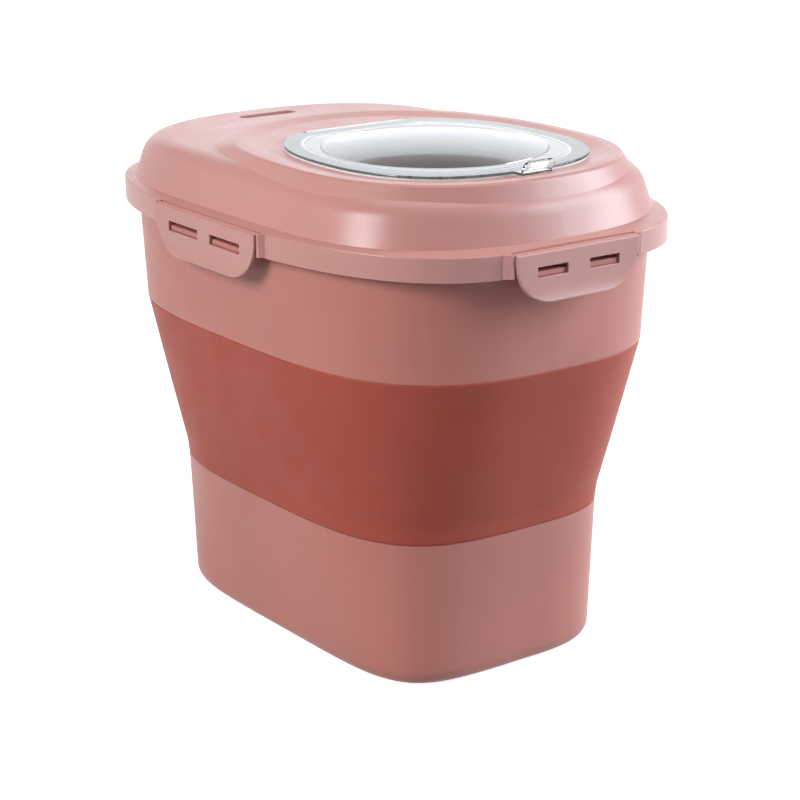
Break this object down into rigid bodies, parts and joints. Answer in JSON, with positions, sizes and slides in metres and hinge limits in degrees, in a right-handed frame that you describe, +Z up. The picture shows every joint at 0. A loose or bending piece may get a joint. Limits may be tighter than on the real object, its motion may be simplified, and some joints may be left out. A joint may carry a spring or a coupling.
{
  "type": "folding pet food storage container",
  "caption": "Folding pet food storage bin with a latched lid, a clear flip-up pour cap and a soft band that rolls over itself for flat storage.",
  "frame": {"origin": "middle of the bounding box at the resting face", "axes": "+X towards the pour cap's tab along the long way, +Y across to the side latch away from the picture's left face, +Z up"},
  "size_m": [0.4586, 0.3326, 0.3927],
  "materials": {
    "pink_plastic": "satin",
    "pink_gloss_plastic": "gloss",
    "red_rubber": "soft matte",
    "white_rubber": "soft matte",
    "clear_plastic": "clear gloss",
    "hinge_steel": "satin"
  },
  "bodies": {
    "tub": {"base_tub": "pink_plastic", "folding_band": "red_rubber"},
    "lid_frame": {"upper_frame": "pink_plastic", "lid_shell": "pink_gloss_plastic", "lid_seal": "white_rubber", "cap_hinge_pin": "hinge_steel", "latch_pin_front": "hinge_steel", "latch_pin_rear": "hinge_steel", "latch_pin_left": "hinge_steel", "latch_pin_right": "hinge_steel"},
    "cap": {"flip_cap": "clear_plastic", "cap_seal": "white_rubber"},
    "front_latch": {"latch_front": "pink_gloss_plastic"},
    "rear_latch": {"latch_rear": "pink_gloss_plastic"},
    "left_latch": {"latch_left": "pink_gloss_plastic"},
    "right_latch": {"latch_right": "pink_gloss_plastic"}
  },
  "joints": [
    {"name": "fold_slide", "type": "slide", "parent": "tub", "child": "lid_frame", "axis": [0, 0, 1], "range_m": [-0.2327, 0], "deforming": ["folding_band"]},
    {"name": "cap_hinge", "type": "hinge", "parent": "lid_frame", "child": "cap", "pos_m": [-0.043, 0, 0.3789], "axis": [0, -1, 0], "range_deg": [0, 105]},
    {"name": "front_latch_hinge", "type": "hinge", "parent": "lid_frame", "child": "front_latch", "pos_m": [0.2236, 0, 0.3377], "axis": [0, -1, 0], "range_deg": [0, 110]},
    {"name": "rear_latch_hinge", "type": "hinge", "parent": "lid_frame", "child": "rear_latch", "pos_m": [-0.2236, 0, 0.3377], "axis": [0, 1, 0], "range_deg": [0, 110]},
    {"name": "left_latch_hinge", "type": "hinge", "parent": "lid_frame", "child": "left_latch", "pos_m": [0, 0.1606, 0.3377], "axis": [1, 0, 0], "range_deg": [0, 110]},
    {"name": "right_latch_hinge", "type": "hinge", "parent": "lid_frame", "child": "right_latch", "pos_m": [0, -0.1606, 0.3377], "axis": [-1, 0, 0], "range_deg": [0, 110]}
  ]
}
